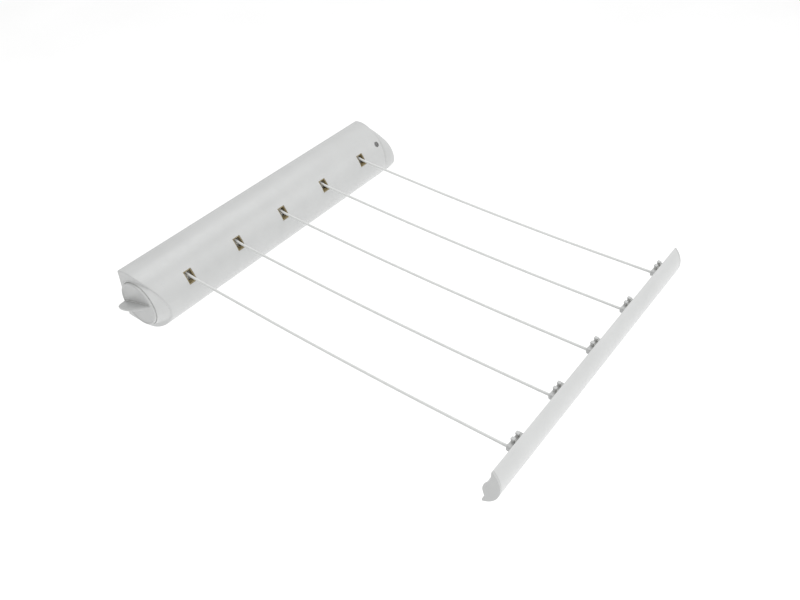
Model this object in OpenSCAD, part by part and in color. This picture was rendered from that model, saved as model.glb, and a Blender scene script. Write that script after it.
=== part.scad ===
// Retractable five-line wall dryer.
// Frame: origin at the centre of the wall face, +X along the wall, +Y into the wall, +Z up.

/* [Housing] */
// Distance between neighbouring lines
line_pitch = 75; // [73:0.5:75.5]
// Overall length along the wall, at the back edge
housing_len = 406; // [404:1:410]
// Radius of the large curve over the top and front
crown_r = 43; // [42.5:0.1:44]
// Radius of the lower front curve
belly_r = 24; // [23:0.5:25]
// Wall thickness of the mouldings
wall = 2.4; // [2:0.1:2.6]

/* [Slots] */
// Width of each line slot
slot_w = 11; // [10:0.5:13]
// Height of each line slot
slot_h = 13.4; // [12:0.2:15]

/* [Wall fixing] */
// Distance between the two wall screw holes
fix_pitch = 225; // [223:0.5:227]
// Radius of each wall screw hole
fix_hole_r = 2.75; // [2:0.05:3.5]

/* [Drum] */
// Radius of the reel cores
core_r = 11; // [10:0.5:12]
// Outer radius of the wound line
coil_r = 20; // [18:0.5:20]
// Radius of the reel flanges
flange_r = 24; // [22:0.5:24.5]

/* [Knob] */
// Radius of the turn knob
knob_r = 26.4; // [25.6:0.1:26.5]
// Thickness of the fin on the knob
fin_t = 4; // [3:0.5:5]

/* [Pull bar] */
// Overall length of the pull bar
bar_len = 384; // [380:1:390]
// Diameter of each line
line_d = 3; // [2:0.2:3]

/* [Hidden] */
$fn = 64;

// Section of the housing, in (Y, Z)
crown_y = -17;
nose_z = -8;
nose_y = crown_y - crown_r;
belly_y = nose_y + belly_r;
bottom_z = nose_z - belly_r;
half_len = housing_len / 2;
end_flat = 20;       // depth of the straight part of the left end, from the wall
end_r = 60;          // radius that draws the left end in towards the front
end_slope = 0.19;    // how fast the right end draws in, per length of depth
shell_x0 = -184;     // seam between the shell and the left cap
plate_t = 3;         // back plate
gap = 0.1;           // between nested mouldings

// Drum axis
axis_y = -28;
axis_z = 0;
shaft_r = 4;
run_gap = 0.05;      // radial running clearance
flange_t = 1.6;
barrel_r = 22.5;     // spring barrel
reel_half = 21;      // half the width over a reel's flanges
sleeve_r = 8;        // reel tube between the flanges of neighbouring reels

// Bulkheads that carry the drum
left_wall_x = -176;
right_wall_x = 173.5;
bulkhead_t = 3;
bush_r = 7;
foot = 9;            // feet of the bulkheads, square
foot_z = 22.5;

// Brake
pin_r = 1.5;
pin_z = 19.5;        // guide pins above and below the axis
wheel_x = -182;      // brake face of the drum
brake_gap = 0.2;
lining_t = 2;
brake_plate_t = 3;
lobe_gap = 0.3;
nub = 2;             // height of the brake plate's two nubs
lobe_r = 9;          // distance of nubs and lobes from the axis
lining_x = wheel_x - brake_gap - lining_t;
lobe_x = lining_x - brake_plate_t - nub - lobe_gap;
cam_t = 2.4;
cam_x = lobe_x - nub - cam_t;  // outer face of the cam disc

// Knob
boss_x = -200.5;     // end of the boss that the knob turns on
knob_x = -206.5;     // rim of the knob
fin_peak = 13;       // how far the fin stands out of the rim
fin_lean = -18.5;    // turn of the fin while the lines are out
dish = 0.8;          // depth of the knob's face under its rim

// Slots
slot_z = 14.8;
guide_t = 1.1;

// Pull bar section, in (Y, Z)
bar_front_y = -448.4;  // centre of the front curve
bar_front_z = 11.9;
bar_r = 26.7;
bar_t = 3;
grip_y = -465.4;
grip_z = 3.4;
grip_r = 7.8;
bar_top_z = 32;
bar_top_y = -464.7;   // back of the thinned top edge
bar_tip_y = -458.6;  // edge of the hooked lower lip
bar_x0 = 3.7 - bar_len / 2;
bar_x1 = bar_x0 + bar_len;
bar_cap_t = 2.5;
cleat_z = 23.5;

// Route of every line, in (Y, Z), from its coil to its cleat
LINE_ROUTE = [
    [-36, 20], [-41, 18.1], [-46, 16.7], [-51, 15.9], [-55, 15.6],
    [-62, 15.3], [-80, 15], [-110, 14.7], [-150, 14.5], [-190, 14.5],
    [-230, 14.9], [-270, 15.6], [-310, 16.7], [-350, 18], [-390, 19.8],
    [-425, 21.6], [-461, 23.5]
];
LINE_SIDES = 8;
line_r = line_d / 2;

function slot_x(i) = (i - 3) * line_pitch;

// Moves a shape drawn in (Y, Z) to x0 and extrudes it along X to x1
module along_x(x0, x1) {
    translate([x0, 0, 0]) rotate([90, 0, 90]) linear_extrude(x1 - x0) children();
}

// A cylinder along X, centred on (y, z)
module rod_x(x0, x1, r, y = axis_y, z = axis_z) {
    translate([x0, y, z]) rotate([0, 90, 0]) cylinder(r = r, h = x1 - x0);
}

module ring_x(x0, x1, r_out, r_in, y = axis_y, z = axis_z) {
    difference() {
        rod_x(x0, x1, r_out, y, z);
        rod_x(x0 - 1, x1 + 1, r_in, y, z);
    }
}

// Section of the housing, shrunk all round by inset and cut off at back_y
module section_2d(inset = 0, back_y = 0) {
    intersection() {
        translate([crown_y, nose_z]) circle(r = crown_r - inset, $fn = 128);
        translate([nose_y, nose_z]) square([back_y - nose_y, 2 * crown_r]);
    }
    intersection() {
        translate([belly_y, nose_z]) circle(r = belly_r - inset, $fn = 96);
        translate([nose_y, nose_z - belly_r]) square([belly_r, belly_r]);
    }
    translate([belly_y, bottom_z + inset])
        square([back_y - belly_y, belly_r - inset]);
}

// Outline of the housing seen from above: the left end draws in along a curve, the right
// end along a straight line
module plan_2d(inset = 0) {
    len = half_len - inset;
    front_y = nose_y - 1;
    translate([-len, -end_flat]) square([len, end_flat + 2]);
    translate([-len + end_r, front_y]) square([len - end_r, -front_y]);
    intersection() {
        translate([-len + end_r, -end_flat]) circle(r = end_r, $fn = 180);
        translate([-len, front_y]) square([len, -front_y - end_flat]);
    }
    polygon([[-1, 2], [len, 2], [len, 0], [len + end_slope * front_y, front_y], [-1, front_y]]);
}

module plan_block(inset = 0) {
    translate([0, 0, -crown_r]) linear_extrude(2 * crown_r) plan_2d(inset);
}

module back_plate() {
    top_z = 28.5;
    low_z = bottom_z + wall;
    color("gainsboro") difference() {
        translate([shell_x0 + 0.2, -plate_t, low_z])
            cube([-2 * shell_x0 + 6, plate_t, top_z - low_z]);
        for (side = [-1, 1])
            translate([side * fix_pitch / 2, 1, 0]) rotate([90, 0, 0])
                cylinder(r = fix_hole_r, h = plate_t + 2);
        each_foot() screw_hole();
    }
}

// Places a child at each bulkhead screw, on the wall face
module each_foot() {
    for (x = [left_wall_x - foot / 2, right_wall_x + bulkhead_t + foot / 2])
        for (z = [-foot_z, foot_z]) translate([x, 0, z]) children();
}

module screw_hole() {
    translate([0, 1, 0]) rotate([90, 0, 0]) cylinder(r = 1.45, h = 8.5);
    translate([0, 1, 0]) rotate([90, 0, 0]) cylinder(r = 3, h = 2.5);
}

module bulkhead_screws() {
    color("silver") each_foot() {
        translate([0, -1.4, 0]) rotate([90, 0, 0]) cylinder(r = 1.4, h = 6);
        difference() {
            translate([0, -0.3, 0]) rotate([90, 0, 0]) cylinder(r = 2.8, h = 1.15);
            translate([-2, -0.8, -0.35]) cube([4, 1, 0.7]);
        }
    }
}

module front_shell() {
    color("whitesmoke") difference() {
        intersection() {
            along_x(shell_x0, half_len) section_2d();
            plan_block();
        }
        along_x(shell_x0 - 1, half_len + 1) section_2d(wall, 1);
        for (i = [1 : 5]) slot_cut(i, slot_w, slot_h);
        cap_screw_axis() cylinder(r = 3.8, h = 8, center = true);
    }
}

// A straight cut through the front wall at slot i
module slot_cut(i, w, h) {
    translate([slot_x(i) - w / 2, nose_y - 1, slot_z - h / 2]) cube([w, 26, h]);
}

// The band of the front wall between two depths, clear of the back plate
module front_band(x0, x1, outer, inner) {
    along_x(x0, x1) difference() {
        section_2d(outer, -plate_t - gap);
        section_2d(inner, 0);
    }
}

module line_guide(i) {
    x = slot_x(i);
    color("darkkhaki") difference() {
        union() {
            intersection() {
                front_band(x - 10, x + 10, 0.4, wall + 3);
                slot_cut(i, slot_w - 0.1, slot_h - 0.1);
            }
            intersection() {
                front_band(x - 10, x + 10, wall + 0.05, wall + 1.2);
                slot_cut(i, slot_w + 4, slot_h + 4);
            }
        }
        slot_cut(i, slot_w - 2 * guide_t, slot_h - 2 * guide_t);
    }
}

// The recessed screw near the right end, on the slope above the slots
module cap_screw_axis() {
    lean = 49;
    translate([186.5, crown_y, nose_z]) rotate([lean, 0, 0])
        translate([0, 0, crown_r]) children();
}

module cap_screw() {
    color("dimgray") cap_screw_axis() difference() {
        union() {
            translate([0, 0, -wall - gap]) cylinder(r = 3.3, h = 1.3);
            translate([0, 0, -wall - 4]) cylinder(r = 1.1, h = 4.2);
        }
        translate([-2.2, -0.4, -1.9]) cube([4.4, 0.8, 1]);
        translate([-0.4, -2.2, -1.9]) cube([0.8, 4.4, 1]);
    }
}

// The swell of the left end face round the knob: x and radius
BOSS = [[boss_x - 3.1, knob_r + 1.1], [boss_x + 2.5, knob_r + 2.1], [boss_x + 10.5, knob_r + 5.8]];

module left_cap() {
    floor_x = boss_x + wall;
    color("whitesmoke") difference() {
        union() {
            intersection() {
                along_x(-half_len, shell_x0) section_2d();
                plan_block();
            }
            intersection() {
                along_x(BOSS[0][0], BOSS[2][0]) section_2d();
                for (k = [0, 1]) translate([BOSS[k][0], axis_y, axis_z]) rotate([0, 90, 0])
                    cylinder(r1 = BOSS[k][1], r2 = BOSS[k + 1][1], h = BOSS[k + 1][0] - BOSS[k][0]);
            }
            rod_x(boss_x, shell_x0 - 2, knob_r + 0.8);
            front_band(shell_x0 - 2, shell_x0 + 6, wall + gap, wall + 2);
        }
        rod_x(-half_len - 10, boss_x, knob_r + 0.5);
        rod_x(floor_x, shell_x0 + 8, knob_r - 1.6);
        difference() {
            intersection() {
                along_x(-half_len, shell_x0 - 3) section_2d(wall, -wall);
                plan_block(wall);
            }
            rod_x(-half_len - 1, shell_x0, knob_r + 0.8);
        }
        along_x(shell_x0 - 2, shell_x0 + 8) section_2d(wall + 2, 1);
        rod_x(boss_x - 1, floor_x + 1, shaft_r + run_gap);
    }
}

// Slices of the domed right cap: x, inset, and shift in Y and Z
DOME = [[192, 3.9, 0, 0], [198, 2.2, 0, 0], [205, 4.4, -3.6, -3.2],
        [212, 12.5, -12, -4.3], [216, 16.5, -14, -6]];

module right_cap() {
    color("whitesmoke") difference() {
        union() {
            difference() {
                hull() for (s = DOME)
                    translate([0, s[2], s[3]])
                        along_x(s[0], s[0] + 0.1) section_2d(s[1], -1 - s[1]);
                intersection() {
                    along_x(150, half_len + 0.1) difference() {
                        section_2d(-1, 1);
                        section_2d(wall + gap, -1);
                    }
                    plan_block(-gap);
                }
                rod_x(190, 199, 20);
                rod_x(198, 205, 17);
            }
            front_band(182, 193.5, wall + gap, wall + 2.1);
        }
        cap_screw_axis() cylinder(r = 1.12, h = 30, center = true);
    }
}

// A wall across the housing that carries one end of the drum
module bulkhead(x, foot_side) {
    foot_x = foot_side < 0 ? x - foot : x + bulkhead_t;
    difference() {
        union() {
            along_x(x, x + bulkhead_t) intersection() {
                section_2d(wall + 2.3, -plate_t);
                translate([-60, -27]) square([60, 60]);
            }
            for (z = [-foot_z, foot_z])
                translate([foot_x, -plate_t - foot, z - foot / 2]) cube([foot, foot, foot]);
        }
        rod_x(x - 1, x + bulkhead_t + 1, bush_r);
        each_foot() screw_hole();
        if (foot_side < 0) for (z = [-pin_z, pin_z])
            rod_x(x - 1, x + bulkhead_t + 1, pin_r, axis_y, axis_z + z);
    }
}

module left_bulkhead() {
    color("lightgray") bulkhead(left_wall_x, -1);
}

module right_bulkhead() {
    color("lightgray") bulkhead(right_wall_x, 1);
}

module bush(x) {
    color("ivory") difference() {
        union() {
            rod_x(x, x + bulkhead_t, bush_r);
            rod_x(x - 1.2, x, bush_r + 1.5);
        }
        rod_x(x - 3, x + bulkhead_t + 3, shaft_r + run_gap);
    }
}

module left_bush() {
    bush(left_wall_x);
}

module right_bush() {
    mirror([1, 0, 0]) bush(-right_wall_x - bulkhead_t);
}

module spring_barrel() {
    x0 = right_wall_x + bulkhead_t;
    color("lightgray") difference() {
        rod_x(x0 + 1.4, x0 + 15.4, barrel_r);
        rod_x(x0 + 2.8, x0 + 16, barrel_r - 1.4);
        rod_x(x0, x0 + 4, 9);
        for (z = [-foot_z, foot_z])
            translate([x0 - 1, -plate_t - foot - 1, z - foot / 2 - 1]) cube(foot + 2);
    }
}

// Faces of a closed tube of n rings, each of so many sides
function tube_faces(n, sides) = concat(
    [[for (s = [sides - 1 : -1 : 0]) s]],
    [
        for (k = [0 : n - 2], s = [0 : sides - 1])
            let (a = k * sides + s, b = k * sides + (s + 1) % sides)
            [a, b, b + sides, a + sides]
    ],
    [[for (s = [0 : sides - 1]) (n - 1) * sides + s]]
);

// Flat spiral from the arbor out to the barrel
SPRING_TURNS = 8;
SPRING_STEPS = 20;
function spiral(r0, r1, side) = [
    for (k = [0 : SPRING_TURNS * SPRING_STEPS])
        let (a = 360 * k / SPRING_STEPS,
             r = r0 + (r1 - r0) * k / (SPRING_TURNS * SPRING_STEPS) + side)
        [r * cos(a), r * sin(a)]
];
function reversed(p) = [for (k = [len(p) - 1 : -1 : 0]) p[k]];

module power_spring() {
    x0 = right_wall_x + bulkhead_t + 3.4;
    color("slategray") translate([0, axis_y, axis_z]) along_x(x0, x0 + 10)
        polygon(concat(
            spiral(8.2, barrel_r - 1.65, 0.25), reversed(spiral(8.2, barrel_r - 1.65, -0.25))
        ));
}

module spring_arbor() {
    x0 = right_wall_x + bulkhead_t + 1.6;
    color("lightgray") ring_x(x0, x0 + 12.5, 7.2, shaft_r);
}

module drum_shaft() {
    color("silver") rod_x(wheel_x + 0.5, right_wall_x + bulkhead_t + 15, shaft_r);
}

module retaining_rings() {
    ends = slot_x(5) + reel_half + 0.3;
    color("dimgray") for (x = [-ends - 1, ends]) ring_x(x, x + 1, 6, shaft_r);
}

module brake_wheel() {
    teeth = 40;
    color("darkkhaki") difference() {
        rod_x(wheel_x, wheel_x + 3.6, 17);
        for (k = [0 : teeth - 1])
            translate([0, axis_y, axis_z]) rotate([360 * k / teeth, 0, 0])
                translate([wheel_x - 1, 16.6, -0.4]) cube([6, 1, 0.8]);
        rod_x(wheel_x - 1, wheel_x + 5, shaft_r);
    }
}

// One reel: the core with its two flanges, and a sleeve that meets the next reel
module reel(i) {
    x = slot_x(i);
    low = i == 1 ? -reel_half : -line_pitch / 2;
    high = i == 5 ? reel_half : line_pitch / 2;
    color("darkkhaki") difference() {
        union() {
            rod_x(x + low, x + high, sleeve_r);
            rod_x(x - reel_half, x + reel_half, core_r);
            rod_x(x - reel_half, x - reel_half + flange_t, flange_r);
            rod_x(x + reel_half - flange_t, x + reel_half, flange_r);
        }
        rod_x(x + low - 1, x + high + 1, shaft_r);
    }
}

module line_coil(i) {
    half = reel_half - flange_t;
    color("white") ring_x(slot_x(i) - half, slot_x(i) + half, coil_r, core_r);
}

module brake_pins() {
    color("silver") for (z = [-pin_z, pin_z])
        rod_x(-193.5, left_wall_x + bulkhead_t, pin_r, axis_y, axis_z + z);
}

// Compression springs round the guide pins
COIL_TURNS = 4;
COIL_STEPS = 12;
COIL_SIDES = 6;
function coil_ring(a, x) = [
    for (s = [0 : COIL_SIDES - 1])
        let (b = 360 * s / COIL_SIDES, r = 2 + 0.3 * cos(b))
        [x + 0.3 * sin(b), r * cos(a), r * sin(a)]
];

module release_springs() {
    x0 = lining_x;
    steps = COIL_TURNS * COIL_STEPS;
    travel = left_wall_x - x0 - 0.7;
    points = [
        for (k = [0 : steps]) each coil_ring(360 * k / COIL_STEPS, 0.35 + travel * k / steps)
    ];
    color("slategray") for (z = [-pin_z, pin_z])
        translate([x0, axis_y, axis_z + z]) polyhedron(points, tube_faces(steps + 1, COIL_SIDES));
}

module brake_lining() {
    x1 = wheel_x - brake_gap;
    color("dimgray") ring_x(x1 - lining_t, x1, 16, 9);
}

module brake_plate() {
    x0 = lining_x - brake_plate_t;
    ear_r = 2.8;
    color("lightgray") difference() {
        union() {
            rod_x(x0, lining_x, 16.5);
            for (z = [-pin_z, pin_z]) rod_x(x0, lining_x, ear_r, axis_y, axis_z + z);
            translate([x0, axis_y - ear_r, axis_z - pin_z])
                cube([brake_plate_t, 2 * ear_r, 2 * pin_z]);
            for (y = [-lobe_r, lobe_r]) rod_x(x0 - nub, x0 + 1, 1, axis_y + y);
        }
        rod_x(x0 - 3, lining_x + 1, 6);
        for (z = [-pin_z, pin_z])
            rod_x(x0 - 1, lining_x + 1, pin_r + run_gap, axis_y, axis_z + z);
    }
}

module cam_disc() {
    lobe = 2.2;          // side of each square lobe
    color("ivory") difference() {
        union() {
            rod_x(cam_x, cam_x + cam_t, 12);
            for (y = [-lobe_r, lobe_r])
                translate([lobe_x - nub - 1, axis_y + y - lobe / 2, axis_z - lobe / 2])
                    cube([nub + 1, lobe, lobe]);
        }
        rod_x(lobe_x - 5, lobe_x, 1.6);
    }
}

module cam_screw() {
    color("silver") {
        rod_x(lobe_x - nub, lobe_x - nub + 1.2, 3);
        rod_x(lobe_x - nub - 6, lobe_x - nub, 1.5);
    }
}

// Side of the fin on the knob: x, and distance from the axis along the fin
FIN = [[0.6, -25], [0.2, -25.2], [-3.3, -18], [-8.2, -10], [-11.7, -2], [-fin_peak, 6],
       [-fin_peak, 13], [-12.1, 19], [-10.1, 22.6], [-6.5, 24.4], [-1.5, 25], [0.6, 25]];

module turn_knob() {
    color("whitesmoke") difference() {
        union() {
            difference() {
                rod_x(knob_x, boss_x - 0.3, knob_r);
                rod_x(knob_x - 1, knob_x + dish, knob_r - 2);
            }
            rod_x(boss_x - 0.4, cam_x, shaft_r);
            translate([knob_x, axis_y, axis_z]) rotate([fin_lean, 0, 0])
                translate([0, 0, -fin_t / 2]) linear_extrude(fin_t)
                    polygon([for (p = FIN) [p[0] + (p[0] > 0 ? dish : 0), p[1]]]);
        }
        rod_x(cam_x - 4, cam_x + 1, 1.5);
    }
}

// Section of the pull bar: a curved front plate, a round grip behind it and a hooked lower edge
module bar_2d() {
    intersection() {
        difference() {
            translate([bar_front_y, bar_front_z]) circle(r = bar_r, $fn = 128);
            translate([bar_front_y, bar_front_z]) circle(r = bar_r - bar_t, $fn = 128);
        }
        difference() {
            translate([-480, -20]) square([480 + bar_tip_y, 20 + bar_top_z]);
            translate([bar_top_y, 24]) square([20, 20]);
        }
    }
    difference() {
        intersection() {
            translate([grip_y, grip_z]) circle(r = grip_r);
            translate([bar_front_y, bar_front_z]) circle(r = bar_r - 1, $fn = 128);
        }
        translate([grip_y, grip_z]) circle(r = grip_r - 2);
    }
}

module pull_bar() {
    color("whitesmoke") along_x(bar_x0 + bar_cap_t, bar_x1 - bar_cap_t) bar_2d();
}

module bar_end_2d() {
    bar_2d();
    translate([grip_y, grip_z]) circle(r = grip_r);
    intersection() {
        translate([bar_front_y, bar_front_z]) circle(r = bar_r - 1, $fn = 128);
        polygon([
            [-478, 30], [bar_top_y, 30], [bar_top_y, 25], [-464, 20.5], [-461.5, 14.5],
            [-458.6, 10.6], [-457.7, 6],
            [-458.6, 0.5], [-460.6, -4.2], [-459, -7.5], [bar_tip_y, -12], [-478, -12]
        ]);
    }
}

module left_bar_cap() {
    color("lightgray") along_x(bar_x0, bar_x0 + bar_cap_t) bar_end_2d();
}

module right_bar_cap() {
    color("lightgray") along_x(bar_x1 - bar_cap_t, bar_x1) bar_end_2d();
}

// A cleat on the back of the bar: a foot with an eye for the line and two prongs
module line_cleat(i) {
    x = slot_x(i);
    color("whitesmoke") difference() {
        union() {
            translate([x - 3, -470, cleat_z - 3.2]) cube([22, 12, 6.4]);
            for (dx = [4.5, 12.5]) {
                translate([x + dx - 1.3, -462, cleat_z]) cube([2.6, 3.2, 7]);
                translate([x + dx - 2, -462.4, cleat_z + 6.5]) cube([4, 4, 1.6]);
            }
        }
        along_x(x - 10, x + 40) difference() {
            translate([-480, -20]) square([20, 70]);
            translate([bar_front_y, bar_front_z]) circle(r = bar_r - bar_t, $fn = 128);
        }
        translate([x, -456, cleat_z]) rotate([90, 0, 0]) cylinder(r = line_r + 0.3, h = 8);
    }
}

// Ring of points round one point of the route; tangent is in the (Y, Z) plane
function tangent(p, k) = let (
        a = p[max(k - 1, 0)], b = p[min(k + 1, len(p) - 1)], d = b - a
    ) d / norm(d);
function ring(x, p, t, r) = [
    for (s = [0 : LINE_SIDES - 1])
        let (a = 360 * s / LINE_SIDES, u = r * cos(a), v = r * sin(a))
        [x + u, p[0] - v * t[1], p[1] + v * t[0]]
];

module line(i) {
    n = len(LINE_ROUTE);
    points = [
        for (k = [0 : n - 1]) each ring(slot_x(i), LINE_ROUTE[k], tangent(LINE_ROUTE, k), line_r)
    ];
    color("white") polyhedron(points, tube_faces(n, LINE_SIDES));
}

back_plate();
front_shell();
left_cap();
right_cap();
cap_screw();
left_bulkhead();
right_bulkhead();
bulkhead_screws();
left_bush();
right_bush();
spring_barrel();
power_spring();
line_guide(1);  // line_guide_1
line_guide(2);  // line_guide_2
line_guide(3);  // line_guide_3
line_guide(4);  // line_guide_4
line_guide(5);  // line_guide_5
brake_pins();
release_springs();
drum_shaft();
retaining_rings();
spring_arbor();
brake_wheel();
reel(1);  // reel_1
reel(2);  // reel_2
reel(3);  // reel_3
reel(4);  // reel_4
reel(5);  // reel_5
line_coil(1);  // line_coil_1
line_coil(2);  // line_coil_2
line_coil(3);  // line_coil_3
line_coil(4);  // line_coil_4
line_coil(5);  // line_coil_5
turn_knob();
cam_disc();
cam_screw();
brake_plate();
brake_lining();
pull_bar();
left_bar_cap();
right_bar_cap();
line_cleat(1);  // line_cleat_1
line_cleat(2);  // line_cleat_2
line_cleat(3);  // line_cleat_3
line_cleat(4);  // line_cleat_4
line_cleat(5);  // line_cleat_5
line(1);  // line_1
line(2);  // line_2
line(3);  // line_3
line(4);  // line_4
line(5);  // line_5
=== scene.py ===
"""Retractable five-line wall dryer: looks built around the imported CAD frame.

Lengths in the shape functions are millimetres in the row frame: +X along the
wall, +Y into the wall, +Z up. Meshes are scaled to metres as they are made.
"""

import math

import bmesh
import bpy
import numpy as np
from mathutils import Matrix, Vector


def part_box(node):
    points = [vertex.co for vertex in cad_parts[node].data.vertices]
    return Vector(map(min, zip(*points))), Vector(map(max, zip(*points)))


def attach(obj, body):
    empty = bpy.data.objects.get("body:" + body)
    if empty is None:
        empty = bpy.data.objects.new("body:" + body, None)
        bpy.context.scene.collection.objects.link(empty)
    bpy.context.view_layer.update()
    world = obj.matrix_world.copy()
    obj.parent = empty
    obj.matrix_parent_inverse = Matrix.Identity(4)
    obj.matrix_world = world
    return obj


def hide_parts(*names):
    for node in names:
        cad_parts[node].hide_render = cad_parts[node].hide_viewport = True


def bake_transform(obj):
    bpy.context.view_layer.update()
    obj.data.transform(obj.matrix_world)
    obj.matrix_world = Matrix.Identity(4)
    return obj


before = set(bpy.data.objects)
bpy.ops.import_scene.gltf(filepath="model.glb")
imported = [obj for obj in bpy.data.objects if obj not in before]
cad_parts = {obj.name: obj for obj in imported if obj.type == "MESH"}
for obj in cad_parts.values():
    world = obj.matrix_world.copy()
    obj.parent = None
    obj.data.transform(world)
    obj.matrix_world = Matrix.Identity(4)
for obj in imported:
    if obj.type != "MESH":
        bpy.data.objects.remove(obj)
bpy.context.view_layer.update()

MM = 0.001
LINES = (1, 2, 3, 4, 5)


def box_mm(node):
    """Lowest and highest corner of a CAD node, in millimetres."""
    low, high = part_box(node)
    return np.array(low) / MM, np.array(high) / MM


def centre_x(node):
    """X of a CAD node's middle, in millimetres."""
    low, high = box_mm(node)
    return (low[0] + high[0]) / 2


# ---------------------------------------------------------------- camera and lines

CAMERA_PLACE = (-0.5756, -0.6598, 0.5967)  # metres
CAMERA_AIM = (0.6023, 0.4513, -0.6585)     # direction of view
SENSOR_WIDTH = 36.0
LENS = 37.37


def make_camera():
    data = bpy.data.cameras.new("camera")
    data.sensor_width = SENSOR_WIDTH
    data.lens = LENS
    data.clip_start = 0.01
    data.clip_end = 60
    camera = bpy.data.objects.new("camera", data)
    camera.location = CAMERA_PLACE
    camera.rotation_mode = "QUATERNION"
    camera.rotation_quaternion = Vector(CAMERA_AIM).to_track_quat("-Z", "Y")
    bpy.context.scene.collection.objects.link(camera)
    bpy.context.scene.camera = camera


make_camera()

# Route of every line, in (Y, Z), from its coil to its cleat, as in part.scad
LINE_ROUTE = [
    (-36, 20), (-41, 18.1), (-46, 16.7), (-51, 15.9), (-55, 15.6),
    (-62, 15.3), (-80, 15), (-110, 14.7), (-150, 14.5), (-190, 14.5),
    (-230, 14.9), (-270, 15.6), (-310, 16.7), (-350, 18), (-390, 19.8),
    (-425, 21.6), (-461, 23.5),
]
LINE_D = 3.0
LINE_SIDES = 14
ROUTE_STEPS = 5


# ---------------------------------------------------------------- mesh helpers

def new_object(name, verts, faces, smooth_angle=32.0):
    """An object from points in millimetres, with edges sharper than smooth_angle left hard."""
    mesh = bpy.data.meshes.new(name)
    mesh.from_pydata([tuple(np.array(v, float) * MM) for v in verts], [], faces)
    mesh.validate()
    work = bmesh.new()
    work.from_mesh(mesh)
    bmesh.ops.remove_doubles(work, verts=work.verts, dist=1e-6)
    bmesh.ops.recalc_face_normals(work, faces=work.faces)
    work.to_mesh(mesh)
    work.free()
    mesh.shade_smooth()
    mesh.set_sharp_from_angle(angle=math.radians(smooth_angle))
    obj = bpy.data.objects.new(name, mesh)
    bpy.context.scene.collection.objects.link(obj)
    return obj


def add_bevel(obj, width, segments=3, angle=40.0):
    """Rounds the hard edges of a mesh; width is in millimetres."""
    bevel = obj.modifiers.new("rounded_edges", "BEVEL")
    bevel.width = width * MM
    bevel.segments = segments
    bevel.limit_method = "ANGLE"
    bevel.angle_limit = math.radians(angle)
    bevel.harden_normals = True
    bevel.miter_outer = "MITER_ARC"


def loft(rings, closed=False, cap_start=False, cap_end=False):
    """Vertices and faces of a skin over rings that have the same number of points."""
    count = len(rings[0])
    verts = [tuple(p) for ring in rings for p in ring]
    faces = []
    steps = len(rings) if closed else len(rings) - 1
    for k in range(steps):
        here = k * count
        there = ((k + 1) % len(rings)) * count
        for i in range(count):
            j = (i + 1) % count
            faces.append((here + i, here + j, there + j, there + i))
    if cap_start:
        faces.append(tuple(range(count - 1, -1, -1)))
    if cap_end:
        last = (len(rings) - 1) * count
        faces.append(tuple(range(last, last + count)))
    return verts, faces


def smooth_path(points, steps):
    """Catmull-Rom curve through the points, with so many steps between neighbours."""
    p = np.array(points, float)
    p = np.vstack([2 * p[0] - p[1], p, 2 * p[-1] - p[-2]])
    out = []
    for k in range(1, len(p) - 2):
        for s in range(steps):
            t = s / steps
            a = 2 * p[k]
            b = p[k + 1] - p[k - 1]
            c = 2 * p[k - 1] - 5 * p[k] + 4 * p[k + 1] - p[k + 2]
            d = -p[k - 1] + 3 * p[k] - 3 * p[k + 1] + p[k + 2]
            out.append(0.5 * (a + b * t + c * t * t + d * t ** 3))
    out.append(p[-2])
    return np.array(out)


def tube(path, radius, sides):
    """Rings of a tube of constant radius along a 3-D path."""
    p = np.array(path, float)
    tangent = np.gradient(p, axis=0)
    tangent /= np.linalg.norm(tangent, axis=1)[:, None]
    side = np.cross(tangent[0], (0.0, 0.0, 1.0))
    if np.linalg.norm(side) < 1e-3:
        side = np.array((1.0, 0.0, 0.0))
    angles = np.arange(sides) * 2 * math.pi / sides
    rings = []
    for centre, t in zip(p, tangent):
        side = side - t * (side @ t)
        side /= np.linalg.norm(side)
        up = np.cross(t, side)
        rings.append([centre + radius * (math.cos(a) * side + math.sin(a) * up) for a in angles])
    return rings


def place(obj, body, material, nodes=()):
    """Gives a finished piece its material, its body and the CAD nodes it stands for."""
    obj.data.materials.clear()
    obj.data.materials.append(material)
    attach(obj, body)
    if nodes:
        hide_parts(*nodes)


# ---------------------------------------------------------------- materials

WHITE = (1, 1, 1, 1)
BLACK = (0, 0, 0, 1)
BRASS_GRIT = (0.30, 0.25, 0.18, 1)


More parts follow.
